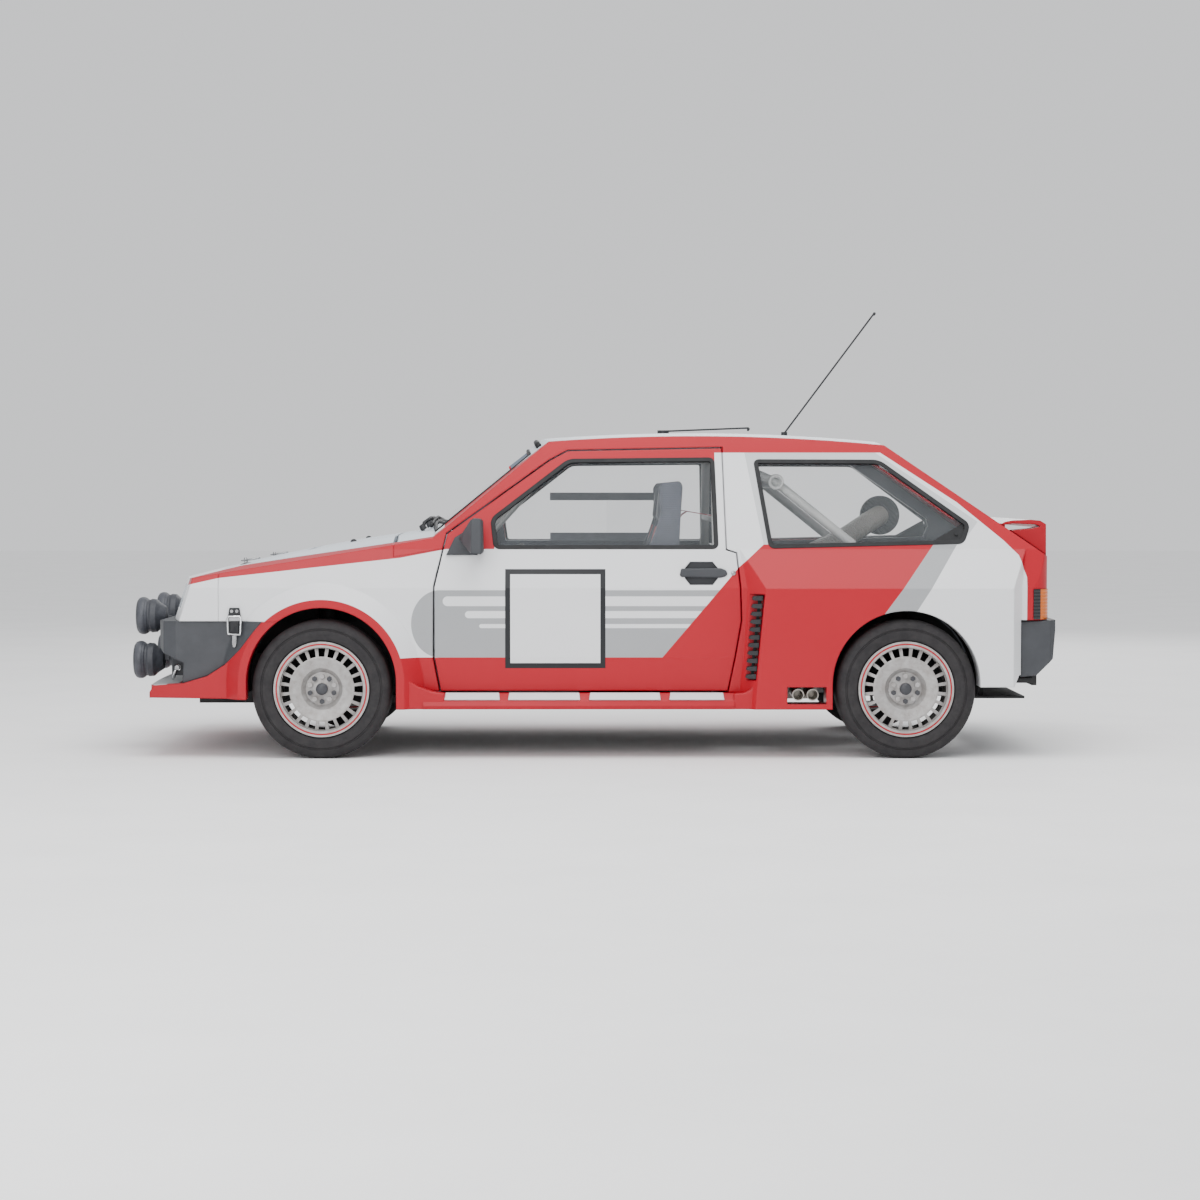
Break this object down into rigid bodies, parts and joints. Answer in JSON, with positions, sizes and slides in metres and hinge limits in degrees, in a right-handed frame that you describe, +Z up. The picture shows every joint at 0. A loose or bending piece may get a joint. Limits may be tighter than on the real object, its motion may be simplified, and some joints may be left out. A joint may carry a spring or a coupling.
{
  "type": "rally car",
  "caption": "Three-door rally hatchback with flared arches, opening doors, bonnet and tailgate, steered front wheels and a caged cabin.",
  "frame": {"origin": "on the road under the middle of the overall length, on the centre line", "axes": "+X towards the rear of the car, +Y towards its right side, +Z up"},
  "size_m": [3.968, 1.872, 1.9284],
  "materials": {
    "white_paint": "gloss",
    "red_paint": "gloss",
    "black_steel": "satin",
    "dark_plastic": "satin",
    "glass": "clear",
    "lamp_glass": "clear",
    "amber_lens": "gloss",
    "cage_paint": "satin",
    "seat_fabric": "matte",
    "rubber": "matte",
    "cast_alloy": "matte",
    "steel": "satin",
    "alloy": "satin",
    "tyre": "matte"
  },
  "bodies": {
    "chassis": {"floor_pan": "black_steel", "frame_rails": "black_steel", "scuttle": "white_paint", "roof_panel": "white_paint", "side_left": "white_paint", "side_right": "white_paint", "wing_left": "white_paint", "wing_right": "white_paint", "nose_panel": "white_paint", "front_bumper": "dark_plastic", "front_skirt": "red_paint", "sills": "red_paint", "rear_bumper": "dark_plastic", "windscreen": "glass", "quarter_glass": "glass", "headlamps": "lamp_glass", "tail_lamps": "amber_lens", "lamp_set": "dark_plastic", "aerials": "dark_plastic", "roll_cage": "cage_paint", "seats": "seat_fabric", "dashboard": "dark_plastic", "engine": "cast_alloy", "exhaust": "steel", "front_suspension": "black_steel", "rear_suspension": "black_steel", "louvres": "dark_plastic"},
    "door_left": {"door_left": "white_paint", "door_glass_left": "glass", "mirror_left": "dark_plastic"},
    "door_right": {"door_right": "white_paint", "door_glass_right": "glass", "mirror_right": "dark_plastic"},
    "bonnet": {"bonnet": "white_paint"},
    "tailgate": {"tailgate": "red_paint", "tailgate_glass": "glass", "spoiler": "red_paint"},
    "steering_wheel": {"steering_wheel": "rubber"},
    "knuckle_left": {"knuckle_left": "black_steel"},
    "knuckle_right": {"knuckle_right": "black_steel"},
    "wheel_front_left": {"rim_front_left": "alloy", "tyre_front_left": "tyre"},
    "wheel_front_right": {"rim_front_right": "alloy", "tyre_front_right": "tyre"},
    "wheel_rear_left": {"rim_rear_left": "alloy", "tyre_rear_left": "tyre"},
    "wheel_rear_right": {"rim_rear_right": "alloy", "tyre_rear_right": "tyre"}
  },
  "joints": [
    {"name": "steer_left", "type": "hinge", "parent": "chassis", "child": "knuckle_left", "pos_m": [-1.12, -0.69, 0.2925], "axis": [0, 0, 1], "range_deg": [-30, 30]},
    {"name": "steer_right", "type": "hinge", "parent": "chassis", "child": "knuckle_right", "pos_m": [-1.12, 0.69, 0.2925], "axis": [0, 0, 1], "range_deg": [-30, 30]},
    {"name": "spin_front_left", "type": "hinge", "parent": "knuckle_left", "child": "wheel_front_left", "pos_m": [-1.12, -0.7575, 0.2925], "axis": [0, 1, 0], "continuous": true},
    {"name": "spin_front_right", "type": "hinge", "parent": "knuckle_right", "child": "wheel_front_right", "pos_m": [-1.12, 0.7575, 0.2925], "axis": [0, 1, 0], "continuous": true},
    {"name": "spin_rear_left", "type": "hinge", "parent": "chassis", "child": "wheel_rear_left", "pos_m": [1.34, -0.7575, 0.2925], "axis": [0, 1, 0], "continuous": true},
    {"name": "spin_rear_right", "type": "hinge", "parent": "chassis", "child": "wheel_rear_right", "pos_m": [1.34, 0.7575, 0.2925], "axis": [0, 1, 0], "continuous": true},
    {"name": "steering_wheel_turn", "type": "hinge", "parent": "chassis", "child": "steering_wheel", "pos_m": [-0.22, -0.35, 0.735], "axis": [0.9063, 0, 0.4226], "range_deg": [-420, 420]},
    {"name": "door_left_hinge", "type": "hinge", "parent": "chassis", "child": "door_left", "pos_m": [-0.611, -0.777, 0.565], "axis": [0, 0, -1], "range_deg": [0, 65]},
    {"name": "door_right_hinge", "type": "hinge", "parent": "chassis", "child": "door_right", "pos_m": [-0.611, 0.777, 0.565], "axis": [0, 0, 1], "range_deg": [0, 65]},
    {"name": "bonnet_hinge", "type": "hinge", "parent": "chassis", "child": "bonnet", "pos_m": [-0.845, 0, 0.91774], "axis": [0, 1, 0], "range_deg": [0, 60]},
    {"name": "tailgate_hinge", "type": "hinge", "parent": "chassis", "child": "tailgate", "pos_m": [1.28341, 0, 1.30137], "axis": [0, -1, 0], "range_deg": [0, 70]}
  ],
  "couplings": [
    {"joint": "steer_right", "follows": "steer_left", "ratio": 1},
    {"joint": "steering_wheel_turn", "follows": "steer_left", "ratio": 14}
  ]
}
